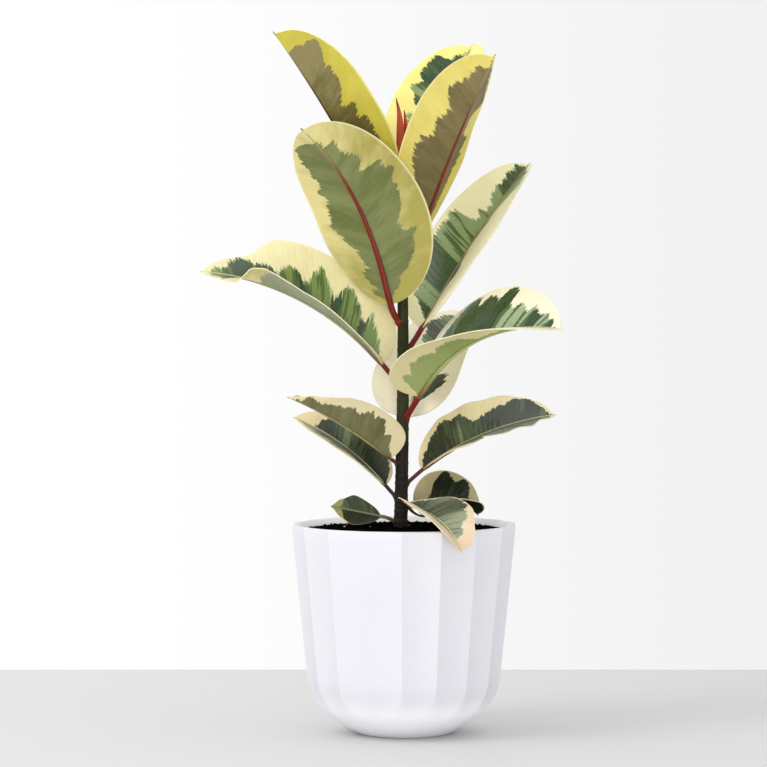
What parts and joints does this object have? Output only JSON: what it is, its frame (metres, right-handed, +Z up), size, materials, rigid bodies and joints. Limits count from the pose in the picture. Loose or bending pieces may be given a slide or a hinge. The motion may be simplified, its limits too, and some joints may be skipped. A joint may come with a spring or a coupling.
{
  "type": "potted rubber plant",
  "caption": "Variegated rubber plant with broad cream-edged leaves on one upright stem, growing in a tapered white fluted pot with a rounded foot.",
  "frame": {"origin": "centre of the pot's flat base, on the surface it stands on", "axes": "+Z up along the stem; +X to the right and +Y away, seen from the side that the plant faces"},
  "size_m": [0.3586, 0.2514, 0.696],
  "materials": {
    "pot_glaze": "matte white glaze",
    "soil": "dark crumbly potting mix",
    "stem_bark": "dark brown-green bark",
    "bud_red": "smooth red sheath",
    "leaf_variegated": "leathery, waxy, cream and green"
  },
  "bodies": {
    "root": {"pot": "pot_glaze", "potting_soil": "soil", "stem": "stem_bark", "bud_sheath": "bud_red", "bud_spike": "bud_red", "leaf_top_left": "leaf_variegated", "leaf_top_back": "leaf_variegated", "leaf_top_right": "leaf_variegated", "leaf_front_large": "leaf_variegated", "leaf_right_upper": "leaf_variegated", "leaf_left_long": "leaf_variegated", "leaf_right_long": "leaf_variegated", "leaf_behind_stem": "leaf_variegated", "leaf_left_middle": "leaf_variegated", "leaf_left_lower": "leaf_variegated", "leaf_right_lower": "leaf_variegated", "leaf_small_left": "leaf_variegated", "leaf_small_back": "leaf_variegated", "leaf_small_front": "leaf_variegated"}
  },
  "joints": []
}
